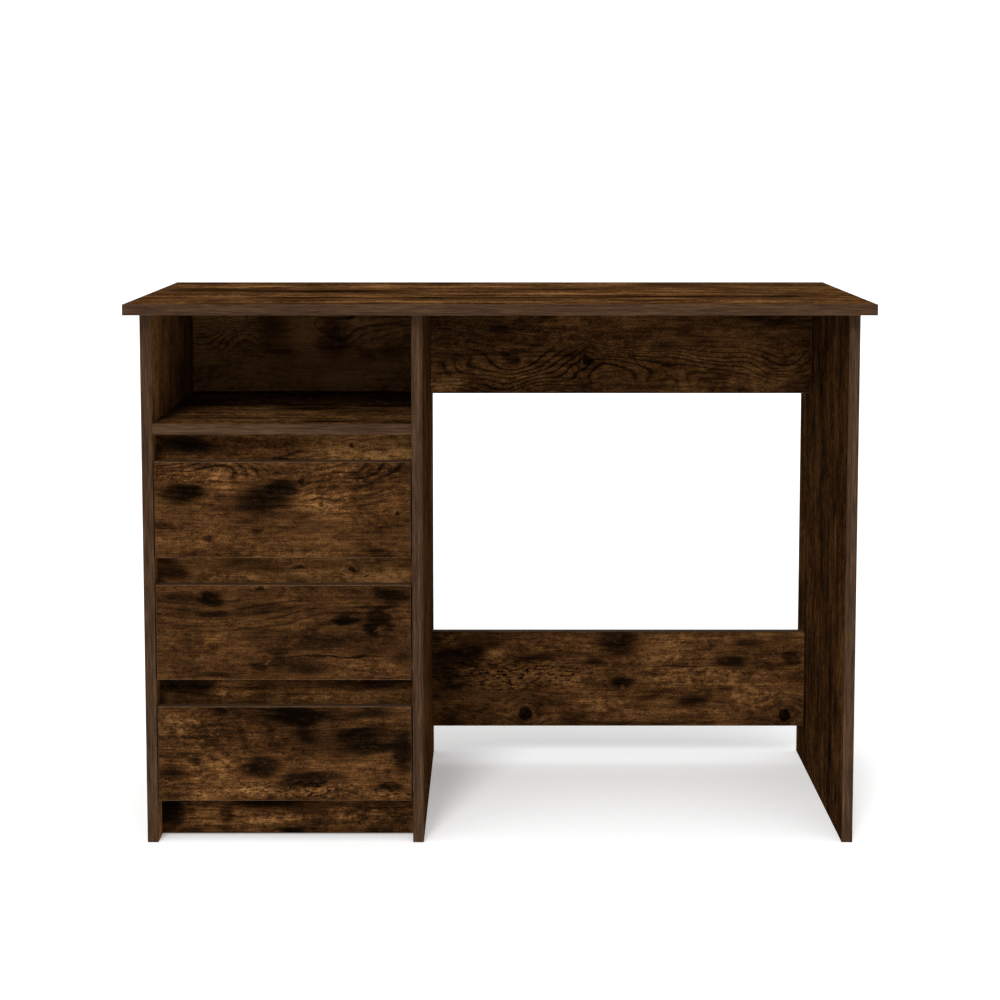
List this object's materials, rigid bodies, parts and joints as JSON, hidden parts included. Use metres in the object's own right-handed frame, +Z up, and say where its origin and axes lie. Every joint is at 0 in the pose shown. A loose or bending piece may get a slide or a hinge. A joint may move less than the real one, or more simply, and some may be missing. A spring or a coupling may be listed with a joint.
{
  "type": "writing desk",
  "caption": "Flat-pack writing desk in dark rustic oak board: open compartment over inset drawers with finger-pull gaps on the left, knee space with two cross panels on the right.",
  "frame": {"origin": "on the floor, under the middle of the desktop", "axes": "+X to the right of a person facing the drawers, +Y from the front to the back, +Z up"},
  "size_m": [1.025, 0.5, 0.76],
  "materials": {
    "oak_board": "dark rustic oak print, satin",
    "edge_band": "mid-brown edge banding, satin",
    "drawer_board": "plain brown foil, satin",
    "drawer_bottom": "hardboard, matt",
    "runner_steel": "white powder coat",
    "zinc_steel": "zinc plated",
    "nylon": "natural nylon",
    "beech": "raw beech",
    "brown_plastic": "brown moulded plastic"
  },
  "bodies": {
    "carcass": {"desktop": "oak_board", "left_side_panel": "oak_board", "middle_side_panel": "oak_board", "right_side_panel": "oak_board", "compartment_shelf": "oak_board", "cabinet_back_panel": "oak_board", "shelf_rail": "oak_board", "upper_drawer_rail": "oak_board", "lower_drawer_rail": "oak_board", "plinth": "oak_board", "modesty_panel": "oak_board", "stretcher_panel": "oak_board", "cam_locks": "zinc_steel", "cam_bolts": "zinc_steel", "dowels": "beech", "corner_blocks": "brown_plastic", "block_screws": "zinc_steel", "runner_screws": "zinc_steel", "lower_drawer_left_cabinet_runner": "runner_steel", "lower_drawer_right_cabinet_runner": "runner_steel", "middle_drawer_left_cabinet_runner": "runner_steel", "middle_drawer_right_cabinet_runner": "runner_steel", "upper_drawer_left_cabinet_runner": "runner_steel", "upper_drawer_right_cabinet_runner": "runner_steel"},
    "lower_drawer": {"lower_drawer_front": "oak_board", "lower_drawer_left_side": "drawer_board", "lower_drawer_right_side": "drawer_board", "lower_drawer_back": "drawer_board", "lower_drawer_bottom": "drawer_bottom", "lower_drawer_left_runner": "runner_steel", "lower_drawer_right_runner": "runner_steel", "lower_drawer_screws": "zinc_steel", "lower_drawer_cam_locks": "zinc_steel", "lower_drawer_cam_bolts": "zinc_steel"},
    "lower_drawer_front_rollers": {"lower_drawer_front_rollers": "nylon"},
    "lower_drawer_rear_rollers": {"lower_drawer_rear_rollers": "nylon"},
    "middle_drawer": {"middle_drawer_front": "oak_board", "middle_drawer_left_side": "drawer_board", "middle_drawer_right_side": "drawer_board", "middle_drawer_back": "drawer_board", "middle_drawer_bottom": "drawer_bottom", "middle_drawer_left_runner": "runner_steel", "middle_drawer_right_runner": "runner_steel", "middle_drawer_screws": "zinc_steel", "middle_drawer_cam_locks": "zinc_steel", "middle_drawer_cam_bolts": "zinc_steel"},
    "middle_drawer_front_rollers": {"middle_drawer_front_rollers": "nylon"},
    "middle_drawer_rear_rollers": {"middle_drawer_rear_rollers": "nylon"},
    "upper_drawer": {"upper_drawer_front": "oak_board", "upper_drawer_left_side": "drawer_board", "upper_drawer_right_side": "drawer_board", "upper_drawer_back": "drawer_board", "upper_drawer_bottom": "drawer_bottom", "upper_drawer_left_runner": "runner_steel", "upper_drawer_right_runner": "runner_steel", "upper_drawer_screws": "zinc_steel", "upper_drawer_cam_locks": "zinc_steel", "upper_drawer_cam_bolts": "zinc_steel"},
    "upper_drawer_front_rollers": {"upper_drawer_front_rollers": "nylon"},
    "upper_drawer_rear_rollers": {"upper_drawer_rear_rollers": "nylon"}
  },
  "joints": [
    {"name": "lower_drawer_slide", "type": "slide", "parent": "carcass", "child": "lower_drawer", "axis": [0, -1, 0], "range_m": [0, 0.25]},
    {"name": "lower_drawer_front_roller_spin", "type": "hinge", "parent": "carcass", "child": "lower_drawer_front_rollers", "pos_m": [-0.301, -0.186, 0.0803], "axis": [1, 0, 0], "range_deg": [0, 1800]},
    {"name": "lower_drawer_rear_roller_spin", "type": "hinge", "parent": "lower_drawer", "child": "lower_drawer_rear_rollers", "pos_m": [-0.301, 0.14, 0.0802], "axis": [1, 0, 0], "range_deg": [0, 1800]},
    {"name": "middle_drawer_slide", "type": "slide", "parent": "carcass", "child": "middle_drawer", "axis": [0, -1, 0], "range_m": [0, 0.25]},
    {"name": "middle_drawer_front_roller_spin", "type": "hinge", "parent": "carcass", "child": "middle_drawer_front_rollers", "pos_m": [-0.301, -0.186, 0.2528], "axis": [1, 0, 0], "range_deg": [0, 1800]},
    {"name": "middle_drawer_rear_roller_spin", "type": "hinge", "parent": "middle_drawer", "child": "middle_drawer_rear_rollers", "pos_m": [-0.301, 0.14, 0.2527], "axis": [1, 0, 0], "range_deg": [0, 1800]},
    {"name": "upper_drawer_slide", "type": "slide", "parent": "carcass", "child": "upper_drawer", "axis": [0, -1, 0], "range_m": [0, 0.25]},
    {"name": "upper_drawer_front_roller_spin", "type": "hinge", "parent": "carcass", "child": "upper_drawer_front_rollers", "pos_m": [-0.301, -0.186, 0.4253], "axis": [1, 0, 0], "range_deg": [0, 1800]},
    {"name": "upper_drawer_rear_roller_spin", "type": "hinge", "parent": "upper_drawer", "child": "upper_drawer_rear_rollers", "pos_m": [-0.301, 0.14, 0.4252], "axis": [1, 0, 0], "range_deg": [0, 1800]}
  ],
  "couplings": [
    {"joint": "lower_drawer_front_roller_spin", "follows": "lower_drawer_slide", "rad_per_m": 125},
    {"joint": "lower_drawer_rear_roller_spin", "follows": "lower_drawer_slide", "rad_per_m": 125},
    {"joint": "middle_drawer_front_roller_spin", "follows": "middle_drawer_slide", "rad_per_m": 125},
    {"joint": "middle_drawer_rear_roller_spin", "follows": "middle_drawer_slide", "rad_per_m": 125},
    {"joint": "upper_drawer_front_roller_spin", "follows": "upper_drawer_slide", "rad_per_m": 125},
    {"joint": "upper_drawer_rear_roller_spin", "follows": "upper_drawer_slide", "rad_per_m": 125}
  ]
}
